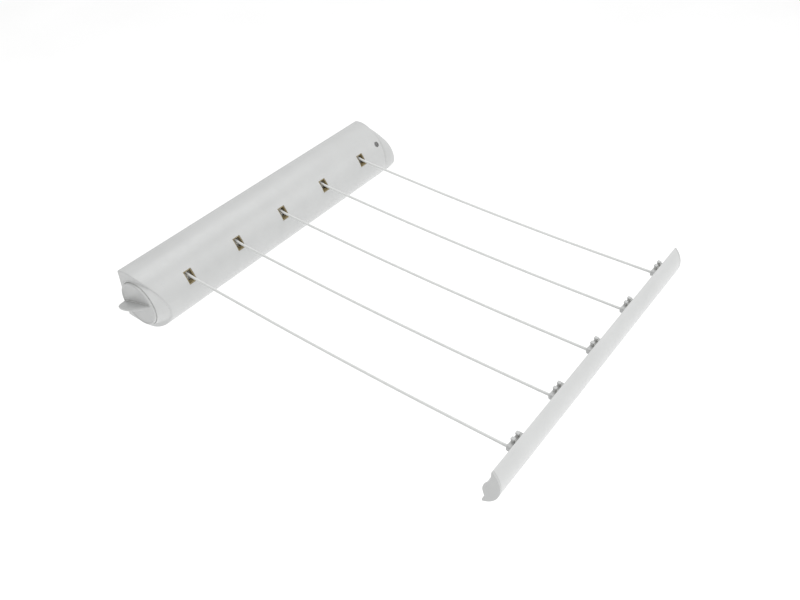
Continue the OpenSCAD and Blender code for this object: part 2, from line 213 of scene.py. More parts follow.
class Nodes:
    """Short forms for building a shader."""

    def __init__(self, name):
        self.material = bpy.data.materials.new(name)
        self.material.use_nodes = True
        self.tree = self.material.node_tree
        self.shader = self.tree.nodes["Principled BSDF"]
        self.place = self.add("ShaderNodeTexCoord").outputs["Object"]

    def add(self, kind, **values):
        node = self.tree.nodes.new(kind)
        for key, value in values.items():
            setattr(node, key, value)
        return node

    def join(self, source, target):
        self.tree.links.new(source, target)

    def noise(self, scale, detail=4.0, rough=0.55, stretch=(1, 1, 1)):
        mapping = self.add("ShaderNodeMapping")
        mapping.inputs["Scale"].default_value = stretch
        self.join(self.place, mapping.inputs["Vector"])
        node = self.add("ShaderNodeTexNoise")
        node.inputs["Scale"].default_value = scale
        node.inputs["Detail"].default_value = detail
        node.inputs["Roughness"].default_value = rough
        self.join(mapping.outputs["Vector"], node.inputs["Vector"])
        return node.outputs["Fac"]

    def ramp(self, source, stops):
        node = self.add("ShaderNodeValToRGB")
        ramp = node.color_ramp
        ramp.elements[0].position = stops[0][0]
        ramp.elements[0].color = stops[0][1]
        ramp.elements[1].position = stops[-1][0]
        ramp.elements[1].color = stops[-1][1]
        for at, colour in stops[1:-1]:
            ramp.elements.new(at).color = colour
        self.join(source, node.inputs["Fac"])
        return node.outputs["Color"]

    def spread(self, source, low, high):
        node = self.add("ShaderNodeMapRange")
        node.inputs["From Min"].default_value = 0.3
        node.inputs["From Max"].default_value = 0.7
        node.inputs["To Min"].default_value = low
        node.inputs["To Max"].default_value = high
        self.join(source, node.inputs["Value"])
        return node.outputs["Result"]

    def mix(self, factor, a, b, blend="MIX"):
        node = self.add("ShaderNodeMix", data_type="RGBA", blend_type=blend)
        for value, socket in ((factor, node.inputs[0]), (a, node.inputs[6]), (b, node.inputs[7])):
            if isinstance(value, bpy.types.NodeSocket):
                self.join(value, socket)
            else:
                socket.default_value = value
        return node.outputs[2]

    def bump(self, height, strength, distance, normal=None):
        node = self.add("ShaderNodeBump")
        node.inputs["Strength"].default_value = strength
        node.inputs["Distance"].default_value = distance * MM
        self.join(height, node.inputs["Height"])
        if normal is not None:
            self.join(normal, node.inputs["Normal"])
        return node.outputs["Normal"]

    def corners(self, radius):
        """The normal with corners rounded over a radius in millimetres."""
        node = self.add("ShaderNodeBevel", samples=4)
        node.inputs["Radius"].default_value = radius * MM
        return node.outputs["Normal"]

    def crevices(self, distance):
        """1 in the open, less in narrow gaps up to a distance in millimetres."""
        node = self.add("ShaderNodeAmbientOcclusion", samples=6)
        node.inputs["Distance"].default_value = distance * MM
        return node.outputs["AO"]

    def edges(self, radius):
        """1 on outer edges within a radius in millimetres, 0 elsewhere."""
        rounded = self.corners(radius)
        plain = self.add("ShaderNodeNewGeometry").outputs["Normal"]
        dot = self.add("ShaderNodeVectorMath", operation="DOT_PRODUCT")
        self.join(rounded, dot.inputs[0])
        self.join(plain, dot.inputs[1])
        return self.ramp(dot.outputs["Value"], [(0.80, WHITE), (0.985, BLACK)])


def shade(colour, factor):
    """A colour made lighter or darker, with full opacity."""
    return tuple(min(1.0, c * factor) for c in colour[:3]) + (1.0,)


def moulded_plastic(name, colour, rough=0.38, grain=900.0, relief=0.045, cloud=0.05,
                    crevice_shade=(0.80, 0.79, 0.75), edge=1.05, edge_highlight_width=0.7, crevice=6.0, soft_edges=0.0):
    """Satin moulded plastic: fine spark-eroded grain, slight flow clouding, painted shade in gaps, painted
    highlights on edges.
    """
    n = Nodes(name)
    clouds = n.noise(26.0, 5.0, 0.6)
    streaks = n.noise(60.0, 3.0, 0.5, (0.12, 1.0, 1.0))
    tone = n.ramp(clouds, [(0.30, shade(colour, 1 - cloud)), (0.70, shade(colour, 1 + cloud * 0.5))])
    flow = n.ramp(streaks, [(0.35, shade(colour, 1 - cloud)), (0.65, shade(colour, 1.02))])
    tone = n.mix(0.25, tone, flow)
    # painted shade: ambient occlusion darkens the colour towards crevice_shade in narrow gaps
    gap = n.ramp(n.crevices(crevice), [(0.15, crevice_shade + (1,)), (0.75, WHITE)])
    tone = n.mix(1.0, tone, gap, "MULTIPLY")
    # painted highlight: outer edges are lightened by the factor edge, in patches
    patchy = n.ramp(n.noise(160.0), [(0.36, (0.35, 0.35, 0.35, 1)), (0.60, WHITE)])
    edge_highlight = n.mix(1.0, n.edges(edge_highlight_width), patchy, "MULTIPLY")
    tone = n.mix(edge_highlight, tone, shade(colour, edge))
    n.join(tone, n.shader.inputs["Base Color"])
    n.join(n.spread(n.noise(190.0, 3.0), rough - 0.06, rough + 0.07), n.shader.inputs["Roughness"])
    n.shader.inputs["Specular IOR Level"].default_value = 0.5
    n.shader.inputs["Coat Weight"].default_value = 0.10
    n.shader.inputs["Coat Roughness"].default_value = 0.22
    base = n.corners(soft_edges) if soft_edges else None
    swell = n.bump(n.noise(14.0, 2.0), 0.05, 0.4, base)
    n.join(n.bump(n.noise(grain * 2.2, 2.0, 0.7), relief, 0.06, swell), n.shader.inputs["Normal"])
    return n.material


def turned_metal(name, colour, rough=0.32, scratch=0.35, dull=(0.72, 0.70, 0.66), stretch=(60, 1, 1)):
    """Plated or blackened steel: drawn scratches, patchy dulling and bright rubbed corners."""
    n = Nodes(name)
    lines = n.noise(240.0, 4.0, 0.6, stretch)
    patch = n.noise(90.0, 4.0, 0.6)
    dulled = [c * d for c, d in zip(colour, dull)]
    tone = n.ramp(patch, [(0.32, shade(dulled, 1.0)), (0.66, shade(colour, 1.05))])
    tone = n.mix(n.edges(0.35), tone, shade(colour, 1.35))
    n.join(tone, n.shader.inputs["Base Color"])
    n.shader.inputs["Metallic"].default_value = 1.0
    n.join(n.spread(lines, rough - 0.10, rough + 0.16), n.shader.inputs["Roughness"])
    n.join(n.bump(lines, scratch, 0.02, n.corners(0.25)), n.shader.inputs["Normal"])
    return n.material


def friction_rubber(name, colour):
    """Hard rubber with brass-coloured grit in it."""
    n = Nodes(name)
    grit = n.noise(2600.0, 3.0, 0.7)
    tone = n.ramp(grit, [(0.35, shade(colour, 0.6)), (0.60, shade(colour, 1.3)), (0.74, BRASS_GRIT)])
    n.join(tone, n.shader.inputs["Base Color"])
    n.join(n.spread(n.noise(400.0), 0.72, 0.92), n.shader.inputs["Roughness"])
    n.join(n.bump(grit, 0.5, 0.08, n.corners(0.3)), n.shader.inputs["Normal"])
    return n.material


def coated_line(name, colour):
    """Extruded white vinyl over a twisted core: the lay of the core shows faintly through the skin."""
    n = Nodes(name)
    wave = n.add("ShaderNodeTexWave", wave_type="BANDS", bands_direction="Y")
    wave.inputs["Scale"].default_value = 90.0
    wave.inputs["Distortion"].default_value = 0.6
    n.join(n.place, wave.inputs["Vector"])
    tone = n.ramp(n.noise(300.0, 3.0), [(0.30, shade(colour, 0.95)), (0.70, shade(colour, 1.02))])
    n.join(tone, n.shader.inputs["Base Color"])
    n.join(n.spread(n.noise(700.0), 0.26, 0.40), n.shader.inputs["Roughness"])
    n.shader.inputs["Coat Weight"].default_value = 0.2
    n.shader.inputs["Coat Roughness"].default_value = 0.15
    skin = n.bump(wave.outputs["Fac"], 0.12, 0.10)
    n.join(n.bump(n.noise(1500.0), 0.04, 0.05, skin), n.shader.inputs["Normal"])
    return n.material


COOL_WHITE = (0.600, 0.607, 0.603)
# painted shade: the knob is the housing's plastic, made darker for how light falls on it
KNOB_SHADED_WHITE = (0.555, 0.562, 0.558)
BAR_WHITE = (0.655, 0.662, 0.658)
CAP_GREY = (0.570, 0.577, 0.573)
INNER_GREY = (0.520, 0.530, 0.530)
ACETAL = (0.74, 0.70, 0.58)
OLIVE = (0.27, 0.215, 0.11)
OLIVE_LIGHT = (0.30, 0.235, 0.10)
LINE_WHITE = (0.74, 0.75, 0.74)
# painted light: the wound line is the drying line's white made lighter and warmer against the shade inside
# the housing
WOUND_LIT_WHITE = (0.93, 0.92, 0.88)

# edge sets each material's painted edge highlight; the guide's 2.4 paints its lips bright tan
HOUSING = moulded_plastic("housing_satin", COOL_WHITE, edge=1.10, edge_highlight_width=0.5)
# the knob's edge factor of 1.38 paints a bright highlight on its rim
KNOB_SHADED = moulded_plastic("knob_satin_shaded", KNOB_SHADED_WHITE, rough=0.34, relief=0.035, edge=1.38, edge_highlight_width=1.2)
BAR = moulded_plastic("bar_satin", BAR_WHITE, rough=0.36, relief=0.035)
CAP = moulded_plastic("bar_cap_satin", CAP_GREY, rough=0.42)
CLEAT = moulded_plastic("cleat_satin", CAP_GREY, rough=0.40)
INNER = moulded_plastic("inner_mouldings", INNER_GREY, rough=0.48, soft_edges=0.35)
BEARING = moulded_plastic("natural_acetal", ACETAL, rough=0.42, soft_edges=0.3)
REEL = moulded_plastic("olive_reel", OLIVE_LIGHT, rough=0.45, cloud=0.16, edge=1.5, soft_edges=0.3,
                       crevice_shade=(0.45, 0.42, 0.35))
GUIDE = moulded_plastic("olive_guide", OLIVE, rough=0.42, cloud=0.22, edge=2.4, crevice=3.0,
                        crevice_shade=(0.55, 0.50, 0.42))
DARK_STEEL = turned_metal("blackened_steel", (0.10, 0.10, 0.11), 0.42)
BRIGHT_STEEL = turned_metal("zinc_plate", (0.62, 0.62, 0.63), 0.28)
SPRING_STEEL = turned_metal("blued_strip", (0.26, 0.30, 0.38), 0.30, stretch=(1, 30, 30))
RUBBER = friction_rubber("friction_lining", (0.035, 0.034, 0.033))
DULL_STEEL = turned_metal("dulled_zinc", (0.32, 0.32, 0.325), 0.5)
LINE = coated_line("coated_line", LINE_WHITE)
WOUND_LINE_LIT = coated_line("wound_line_lit", WOUND_LIT_WHITE)


# ---------------------------------------------------------------- housing shape

shell_low, shell_high = box_mm("front_shell")
SEAM_X = shell_low[0]
NOSE_Y = shell_low[1]
BOTTOM_Z = shell_low[2]
HALF_LEN = shell_high[0]
CROWN_R = 43.0    # the long curve from the nose over the top
CROWN_Y = NOSE_Y + CROWN_R
BELLY_R = 24.0    # the tighter curve from the nose to the underside
BELLY_Y = NOSE_Y + BELLY_R
NOSE_Z = BOTTOM_Z + BELLY_R
WALL = 2.4
GAP = 0.1         # between a spigot and the shell round it
END_FLAT = 20.0   # straight part of the left end, measured from the wall
END_R = 60.0      # radius that draws the left end in towards the front
END_SLOPE = 0.19  # how fast the right end draws in, per length of depth
AXIS_Y = -28.0    # drum and knob axis; its Z is 0
PLATE_T = -box_mm("back_plate")[0][1]


def left_reach(y):
    """Distance of the left end face from the middle of the housing at a depth y."""
    y = np.asarray(y, float)
    dip = np.clip(-END_FLAT - y, 0, END_R)
    return HALF_LEN - END_R + np.sqrt(END_R ** 2 - dip ** 2)


def right_reach(y):
    """Distance of the shell's right edge from the middle of the housing at a depth y."""
    return HALF_LEN + END_SLOPE * np.asarray(y, float)


def crown_point(radius, angle):
    """Point of the crown circle; angle 0 is the nose, 90 degrees the top."""
    return CROWN_Y - radius * math.cos(angle), NOSE_Z + radius * math.sin(angle)


def crown_end(radius, back_y):
    """Angle at which a crown circle meets the plane y = back_y."""
    return math.acos(-(back_y - CROWN_Y) / radius)


# Points on each part of the housing's outline
RING_BOTTOM = 8
RING_BELLY = 16
RING_CROWN = 44
RING_BACK = 16


def section_ring(inset, back_y=0.0, shift=(0.0, 0.0)):
    """Closed outline of the housing's section, shrunk by inset, as (y, z) points."""
    points = []
    belly = BELLY_R - inset
    for k in range(RING_BOTTOM):
        t = k / RING_BOTTOM
        points.append((back_y + (BELLY_Y - back_y) * t, BOTTOM_Z + inset))
    for k in range(RING_BELLY):
        a = math.pi / 2 * k / RING_BELLY
        points.append((BELLY_Y - belly * math.sin(a), NOSE_Z - belly * math.cos(a)))
    crown = CROWN_R - inset
    end = crown_end(crown, back_y)
    for k in range(RING_CROWN):
        points.append(crown_point(crown, end * k / RING_CROWN))
    top = crown_point(crown, end)
    for k in range(RING_BACK):
        t = k / RING_BACK
        points.append((back_y, top[1] + (BOTTOM_Z + inset - top[1]) * t))
    return np.array(points) + np.array(shift)


RING_DIRECTION = np.arctan2(section_ring(0)[:, 1], section_ring(0)[:, 0] - AXIS_Y)


def circle_ring(radius):
    """Circle round the drum axis whose points face those of section_ring."""
    return np.stack([AXIS_Y + radius * np.cos(RING_DIRECTION), radius * np.sin(RING_DIRECTION)], 1)


def at_x(ring, x):
    """Puts a ring of (y, z) points at x, which is one value or one for each point."""
    return np.column_stack([np.broadcast_to(x, len(ring)), ring])


SLOT_W = 11.0
SLOT_Z = 14.8
SLOT_H = 13.4
SLOT_XS = [centre_x(f"line_guide_{i}") for i in LINES]
HOLE_X = 186.5
HOLE_R = 3.8
HOLE_ANGLE = math.radians(41.0)  # place of the cap screw on the crown, from the nose
HOLE_HALF = 4.4                  # half the patch of mesh round that screw
HOLE_CELLS = 6
HOLE_RINGS = (0.66, 0.33, 0.12, 0.0)  # rings of that patch: 1 is its square edge, 0 the hole


def shell_stations():
    """Angles on the outer and the inner crown that share slot edges and the screw patch."""
    def keys(radius):
        edges = (SLOT_Z - SLOT_H / 2, SLOT_Z + SLOT_H / 2)
        low, high = [math.asin((z - NOSE_Z) / radius) for z in edges]
        half = HOLE_HALF / radius
        return [0, low, HOLE_ANGLE - half, high, HOLE_ANGLE + half, crown_end(radius, 0)]
    outer_keys, inner_keys = keys(CROWN_R), keys(CROWN_R - WALL)
    counts = [7, 4, HOLE_CELLS - 2, 2, 20]
    outer, inside = [], []
    for k, count in enumerate(counts):
        for s in range(count):
            t = s / count
            outer.append(outer_keys[k] * (1 - t) + outer_keys[k + 1] * t)
            inside.append(inner_keys[k] * (1 - t) + inner_keys[k + 1] * t)
    outer.append(outer_keys[-1])
    inside.append(inner_keys[-1])
    rows = np.cumsum([0] + counts)
    return outer, inside, rows


def shell_profile(inset, crown_angles):
    """Open outline of the shell: along the bottom, round the belly, over the crown."""
    points = []
    belly = BELLY_R - inset
    for k in range(RING_BOTTOM):
        points.append((BELLY_Y * k / RING_BOTTOM, BOTTOM_Z + inset))
    for k in range(RING_BELLY):
        a = math.pi / 2 * k / RING_BELLY
        points.append((BELLY_Y - belly * math.sin(a), NOSE_Z - belly * math.cos(a)))
    points += [crown_point(CROWN_R - inset, a) for a in crown_angles]
    return np.array(points)


def shell_columns():
    """X of each column of the shell's mesh before its right end slopes, and where slots and screw are."""
    xs, slots = [SEAM_X], []
    for x in SLOT_XS:
        xs += [x - SLOT_W / 2, x + SLOT_W / 2]
        slots.append(len(xs) - 2)
    hole = len(xs)
    xs += [HOLE_X - HOLE_HALF + 2 * HOLE_HALF * k / HOLE_CELLS for k in range(HOLE_CELLS + 1)]
    xs.append(HALF_LEN)
    return xs, slots, hole


def front_shell():
    """The long moulding: two skins on one grid, joined at its edges, its slots and its screw hole."""
    outer_angles, inner_angles, rows = shell_stations()
    profiles = [shell_profile(0, outer_angles), shell_profile(WALL, inner_angles)]
    xs, slots, hole = shell_columns()
    first_row = RING_BOTTOM + RING_BELLY
    slot_rows = range(first_row + rows[1], first_row + rows[3])
    hole_rows = range(first_row + rows[2], first_row + rows[4])
    bend_x = xs[hole + HOLE_CELLS]
    verts, faces = [], []
    index = {}

    def grid_point(side, col, row):
        key = (side, col, row)
        if key not in index:
            y, z = profiles[side][row]
            x = xs[col]
            if x > bend_x:
                x = float(right_reach(y))
            index[key] = len(verts)
            verts.append((float(x), y, z))
        return index[key]

    def is_open(col, row):
        in_slot = col in slots and row in slot_rows
        in_hole = hole <= col < hole + HOLE_CELLS and row in hole_rows
        return in_slot or in_hole

    last_row, last_col = len(profiles[0]) - 1, len(xs) - 1
    for col in range(last_col):
        for row in range(last_row):
            if is_open(col, row):
                continue
            for side in (0, 1):
                corners = [(col, row), (col + 1, row), (col + 1, row + 1), (col, row + 1)]
                faces.append([grid_point(side, c, r) for c, r in corners])
    for col in range(last_col):
        for row in (0, last_row):
            faces.append([grid_point(0, col, row), grid_point(0, col + 1, row),
                          grid_point(1, col + 1, row), grid_point(1, col, row)])
    for row in range(last_row):
        for col in (0, last_col):
            faces.append([grid_point(0, col, row), grid_point(0, col, row + 1),
                          grid_point(1, col, row + 1), grid_point(1, col, row)])
    for col in slots:
        around = [(col, r) for r in range(slot_rows[0], slot_rows[-1] + 2)]
        around += [(col + 1, r) for r in range(slot_rows[-1] + 1, slot_rows[0] - 1, -1)]
        for a, b in zip(around, around[1:] + around[:1]):
            faces.append([grid_point(0, *a), grid_point(0, *b), grid_point(1, *b), grid_point(1, *a)])
    screw_hole(verts, faces, grid_point, hole, hole_rows)
    obj = new_object("front_shell_moulding", verts, faces)
    add_bevel(obj, 0.2, 2)
    place(obj, "housing", HOUSING, ["front_shell"])


def screw_hole(verts, faces, grid_point, hole, hole_rows):
    """Rings from the square patch of the grid to the screw hole on both skins, and the hole's wall."""
    low, high = hole_rows[0], hole_rows[-1] + 1
    square = [(hole + k, low) for k in range(HOLE_CELLS)]
    square += [(hole + HOLE_CELLS, low + k) for k in range(HOLE_CELLS)]
    square += [(hole + HOLE_CELLS - k, high) for k in range(HOLE_CELLS)]
    square += [(hole, high - k) for k in range(HOLE_CELLS)]
    rims = []
    for side, radius in ((0, CROWN_R), (1, CROWN_R - WALL)):
        outer = [grid_point(side, *cell) for cell in square]
        flat = []
        for v in outer:
            x, y, z = verts[v]
            angle = math.atan2(z - NOSE_Z, CROWN_Y - y)
            flat.append(((x - HOLE_X), (angle - HOLE_ANGLE) * radius))
        ring = outer
        for t in HOLE_RINGS:
            new = []
            for u, v in flat:
                scale = HOLE_R / math.hypot(u, v)
                across = u * (scale + (1 - scale) * t)
                along = v * (scale + (1 - scale) * t)
                y, z = crown_point(radius, HOLE_ANGLE + along / radius)
                new.append(len(verts))
                verts.append((HOLE_X + across, y, z))
            for k in range(len(ring)):
                j = (k + 1) % len(ring)
                faces.append([ring[k], ring[j], new[j], new[k]])
            ring = new
        rims.append(ring)
    for k in range(len(rims[0])):
        j = (k + 1) % len(rims[0])
        faces.append([rims[0][k], rims[0][j], rims[1][j], rims[1][k]])


RIM_ROUND = 1.3   # rounding of the left cap's rim
KNOB_R = (box_mm("turn_knob")[1][2] - box_mm("turn_knob")[0][2]) / 2
BOSS_X = -200.5   # the face that the knob turns on
WELL_R = KNOB_R + 0.35
BORE_R = 4.05

# The swell of the left end face round the knob: radius and distance from the middle
SWELL_R = (KNOB_R + 1.1, KNOB_R + 2.1, KNOB_R + 5.8, KNOB_R + 30)
SWELL_REACH = (-BOSS_X + 3.1, -BOSS_X - 2.5, -BOSS_X - 10.5, -BOSS_X - 60)
SWELL_BLEND = 2.0  # sharpness of the blend into the end face, per millimetre
SWELL_FULL = 0.4   # share of the way from the rim to the well where the swell is complete
FACE_SHARES = (0.08, 0.16, 0.25, 0.35, 0.48, 0.6, 0.72, 0.84, 0.94, 1.0)


def end_face_x(ring, share):
    """X of the end face: the plan curve at the rim, swelling up to the knob's well as share goes to 1."""
    plan = left_reach(ring[:, 0])
    radius = np.hypot(ring[:, 0] - AXIS_Y, ring[:, 1])
    swell = np.interp(radius, SWELL_R, SWELL_REACH)
    blended = np.logaddexp(plan * SWELL_BLEND, swell * SWELL_BLEND) / SWELL_BLEND
    weight = math.sin(math.pi / 2 * min(1.0, share / SWELL_FULL))
    return -(plan + (blended - plan) * weight)


def left_cap():
    """The end cap with a narrow rounded rim and an end face that swells up to the knob."""
    outline = section_ring(0)
    inner = section_ring(WALL, -WALL)
    spigot_out = section_ring(WALL + GAP, -PLATE_T - GAP)
    spigot_in = section_ring(WALL + 2, -PLATE_T - 2)
    rings = [at_x(outline, SEAM_X), at_x(outline, -left_reach(outline[:, 0]) + RIM_ROUND)]
    for k in range(1, 7):
        a = math.pi / 2 * k / 6
        ring = section_ring(RIM_ROUND * (1 - math.cos(a)))
        rings.append(at_x(ring, -left_reach(ring[:, 0]) + RIM_ROUND * (1 - math.sin(a))))
    face, well = section_ring(RIM_ROUND), circle_ring(WELL_R)
    for t in FACE_SHARES:
        ring = face * (1 - t) + well * t
        rings.append(at_x(ring, end_face_x(ring, t)))
    floor_x = BOSS_X + WALL
    tube_r = KNOB_R - 1.6
    tube_x = SEAM_X - 2.5
    rings += [at_x(circle_ring(r), x) for r, x in (
        (WELL_R, BOSS_X), (BORE_R, BOSS_X), (BORE_R, floor_x),
        (tube_r, floor_x), (tube_r, tube_x), (WELL_R, tube_x))]
    for t in (0.0, 0.35, 0.7, 1.0):
        ring = well * (1 - t) + inner * t
        rings.append(at_x(ring, np.minimum(-left_reach(ring[:, 0]) + WALL, tube_x - 1)))
    rings += [at_x(inner, SEAM_X - 2), at_x(spigot_in, SEAM_X - 2), at_x(spigot_in, SEAM_X + 6),
              at_x(spigot_out, SEAM_X + 6), at_x(spigot_out, SEAM_X)]
    obj = new_object("left_cap_moulding", *loft(rings, closed=True))
    add_bevel(obj, 0.15, 2)
    place(obj, "housing", HOUSING, ["left_cap"])


# Slices of the domed right cap: x, inset, and shift in Y and Z. The groove between
# the shell and the cap is a little deeper and longer here than in part.scad
DOME = [(189, 6.5, 0, 0), (192, 5.4, 0, 0), (195.5, 3.7, 0, 0), (199, 2.4, -0.2, -0.2),
        (205, 4.6, -3.5, -3.4), (212, 13.0, -12, -4.8), (214.8, 15.6, -13.2, -5.8),
        (216, 17.6, -14, -6.6)]
DOME_STEPS = 26
TIP_SHARES = (0.92, 0.75, 0.5, 0.25, 0.03)  # rings that close the dome's tip, 1 at its last slice
SPIGOT_X = 182.0       # where the right cap's spigot starts inside the shell
SPIGOT_END_X = 193.5
HOLLOW_X = 205.0       # floor of the round hollow in the right cap
HOLLOW_R = 17


def dome_slice(x):
    """Inset and shift of the dome at x, from a smooth curve through the slices."""
    path = smooth_path(DOME, 12)
    return [float(np.interp(x, path[:, 0], path[:, k])) for k in (1, 2, 3)]


def right_cap():
    """The domed cap that stands out of the shell's right end, with a groove round it."""
    spigot_in = section_ring(WALL + 2.1, -PLATE_T - 2)
    spigot_out = section_ring(WALL + GAP, -PLATE_T - GAP)
    edge_x = right_reach(spigot_out[:, 0])
    tip_x = box_mm("right_cap")[1][0] - 0.05
    rings = [at_x(circle_ring(0.5), HOLLOW_X), at_x(circle_ring(HOLLOW_R), HOLLOW_X),
             at_x(circle_ring(HOLLOW_R), SPIGOT_END_X), at_x(spigot_in, SPIGOT_END_X),
             at_x(spigot_in, SPIGOT_X), at_x(spigot_out, SPIGOT_X), at_x(spigot_out, edge_x - 1.0)]
    for k in range(DOME_STEPS + 1):
        u = k / DOME_STEPS
        xs = edge_x + 0.2 + (tip_x - edge_x - 0.2) * (1 - (1 - u) ** 1.5)
        ring = []
        for i, x in enumerate(xs):
            inset, dy, dz = dome_slice(x)
            inset = max(inset, WALL + GAP) if x < edge_x[i] + 0.3 else inset
            ring.append((x, *section_ring(inset, -1.0 - inset, (dy, dz))[i]))
        rings.append(np.array(ring))
    last = rings[-1]
    middle = last.mean(axis=0)
    for t in TIP_SHARES:
        rings.append(middle + (last - middle) * t)
    obj = new_object("right_cap_dome", *loft(rings, cap_start=True, cap_end=True), smooth_angle=40)
    place(obj, "housing", HOUSING, ["right_cap"])


def line_guides():
    """Frames in the slots: a straight-sided eye with rounded lips and a flange behind the wall."""
    for i, x in zip(LINES, SLOT_XS):
        obj = line_guide(i, x)
        add_bevel(obj, 0.3, 2)
        place(obj, "housing", GUIDE, [f"line_guide_{i}"])


def line_guide(i, x):
    """One guide at x; each ring is a depth under the crown and a growth sideways."""
    wall_t = 1.1
    half_w, half_h = SLOT_W / 2 - 0.05, SLOT_H / 2 - 0.05
    steps = 8

    def frame_ring(depth, grow):
        """Rectangle that follows the crown at a depth under its surface."""
        radius = CROWN_R - depth
        w, h = half_w + grow, half_h + grow
        points = []
        for k in range(steps):
            points.append((-w, -h + 2 * h * k / steps))
        points += [(-w, h)]
        for k in range(steps):
            points.append((w, h - 2 * h * k / steps))
        points += [(w, -h)]
        ring = []
        for u, v in points:
            z = SLOT_Z + v
            y = CROWN_Y - math.sqrt(radius ** 2 - (z - NOSE_Z) ** 2)
            ring.append((x + u, y, z))
        return ring

    rings = [frame_ring(0.35, 0), frame_ring(WALL + 0.05, 0), frame_ring(WALL + 0.05, 2),
             frame_ring(WALL + 1.2, 2), frame_ring(WALL + 1.2, 0), frame_ring(WALL + 3, 0),
             frame_ring(WALL + 3, -wall_t), frame_ring(0.35, -wall_t)]
    return new_object(f"line_guide_frame_{i}", *loft(rings, closed=True))


# ---------------------------------------------------------------- knob

RIM_X = -206.5                  # outer face of the knob's rim
DISH_X = RIM_X + 0.8            # face of the disc inside that rim
FIN_LEAN = math.radians(-18.5)  # turn of the fin while the lines are out
FIN_ROOT = DISH_X + 2.6         # the fin's root, sunk into the disc
# Side of the fin: x from the rim, and distance from the axis along the fin
FIN_SIDE = [(0.2, -25.2), (-3.3, -18), (-8.2, -10), (-11.7, -2), (-12.85, 6), (-12.9, 13),
            (-12.1, 19), (-10.1, 22.6), (-6.5, 24.4), (-1.5, 25), (0.4, 25)]
# Half sections of the fin across its thickness: offset, and how far its side is drawn in
FIN_LEVELS = [(0.8, 0.0), (1.15, 0.12), (1.45, 0.45), (1.7, 1.0), (1.9, 1.7), (2.0, 2.4)]


def knob_profile():
    """Half section of the knob's disc and shaft, as (x, r) points."""
    cam_x = box_mm("turn_knob")[1][0]
    back_x = BOSS_X - 0.3
    r = KNOB_R
    edge = 1.3
    points = [(cam_x - 4, 0.02), (cam_x - 4, 1.5), (cam_x, 1.5), (cam_x, 4.0), (back_x, 4.0),
              (back_x, r - 0.4), (back_x - 0.4, r)]
    for k in range(7):
        a = math.pi / 2 * k / 6
        points.append((RIM_X + edge * (1 - math.sin(a)), r - edge * (1 - math.cos(a))))
    points += [(RIM_X, r - 1.7), (RIM_X + 0.1, r - 2.0), (RIM_X + 0.45, r - 2.4), (RIM_X + 0.7, r - 3.1),
               (DISH_X, r - 4.2), (DISH_X, 10.0), (DISH_X, 0.02)]
    return points


def fin_outline():
    """Outline of the fin's side: low at the front of the rim, high and blunt at the back."""
    side = smooth_path([(RIM_X + x, s) for x, s in FIN_SIDE], 5)
    root = [(FIN_ROOT, 25), (FIN_ROOT, 12), (FIN_ROOT, 0), (FIN_ROOT, -12), (FIN_ROOT, -25)]
    return np.vstack([side, root])


def inset_outline(points, amount):
    """Moves a closed outline inwards along its normals."""
    ahead, behind = np.roll(points, -1, axis=0), np.roll(points, 1, axis=0)
    along = ahead - behind
    along /= np.linalg.norm(along, axis=1)[:, None]
    normal = np.stack([-along[:, 1], along[:, 0]], 1)
    area = np.sum(points[:, 0] * ahead[:, 1] - ahead[:, 0] * points[:, 1])
    return points + normal * amount * (1 if area > 0 else -1)


def turn_knob():
    """The knob: a turned disc and shaft, with a rounded fin across the disc."""
    profile = knob_profile()
    count = 128
    rings = []
    for x, r in profile:
        angles = np.arange(count) * 2 * math.pi / count
        ring = [np.full(count, x), AXIS_Y + r * np.cos(angles), r * np.sin(angles)]
        rings.append(np.stack(ring, 1))
    verts, faces = loft(rings, cap_start=True, cap_end=True)
    outline = fin_outline()
    fin_rings = []
    for offset, drawn_in in [(-z, d) for z, d in reversed(FIN_LEVELS)] + FIN_LEVELS:
        side = inset_outline(outline, drawn_in)
        y = AXIS_Y + side[:, 1] * math.cos(FIN_LEAN) - offset * math.sin(FIN_LEAN)
        z = side[:, 1] * math.sin(FIN_LEAN) + offset * math.cos(FIN_LEAN)
        fin_rings.append(np.column_stack([side[:, 0], y, z]))
    fin_verts, fin_faces = loft(fin_rings, cap_start=True, cap_end=True)
    shift = len(verts)
    verts = list(verts) + list(fin_verts)
    faces = list(faces) + [tuple(v + shift for v in f) for f in fin_faces]
    obj = new_object("turn_knob_dish", verts, faces, 38)
    place(obj, "knob", KNOB_SHADED, ["turn_knob"])


# ---------------------------------------------------------------- pull bar

BAR_C = np.array((-448.4, 11.9))   # centre of the plate's curve, as (y, z)
BAR_R = 26.7
BAR_T = 3.0
GRIP_C = np.array((-465.4, 3.4))   # centre of the rolled grip behind the plate
GRIP_R = 7.8
GRIP_BORE = 5.8
BAR_TOP = box_mm("pull_bar")[1][2]
BAR_TOP_BACK = -464.7              # y of the back of the plate's thinned top edge
BAR_TIP = -458.6                   # y of the plate's lower edge


def arc(centre, radius, start, end, count):
    """Points of an arc; angles are in radians from -Y towards +Z."""
    angles = np.linspace(start, end, count)
    return [(centre[0] - radius * math.cos(a), centre[1] + radius * math.sin(a)) for a in angles]


def angle_at(centre, point):
    """Angle of a point round a centre, measured as arc() does."""
    return math.atan2(point[1] - centre[1], centre[0] - point[0])


def crossings(radius_a, radius_b):
    """Where the bar's inner curve crosses a circle round the grip: upper and lower point."""
    gap = GRIP_C - BAR_C
    d = np.linalg.norm(gap)
    along = (d * d + radius_a ** 2 - radius_b ** 2) / (2 * d)
    out = math.sqrt(radius_a ** 2 - along ** 2)
    u = gap / d
    n = np.array((-u[1], u[0]))
    pair = [BAR_C + along * u + out * n, BAR_C + along * u - out * n]
    return sorted(pair, key=lambda p: -p[1])


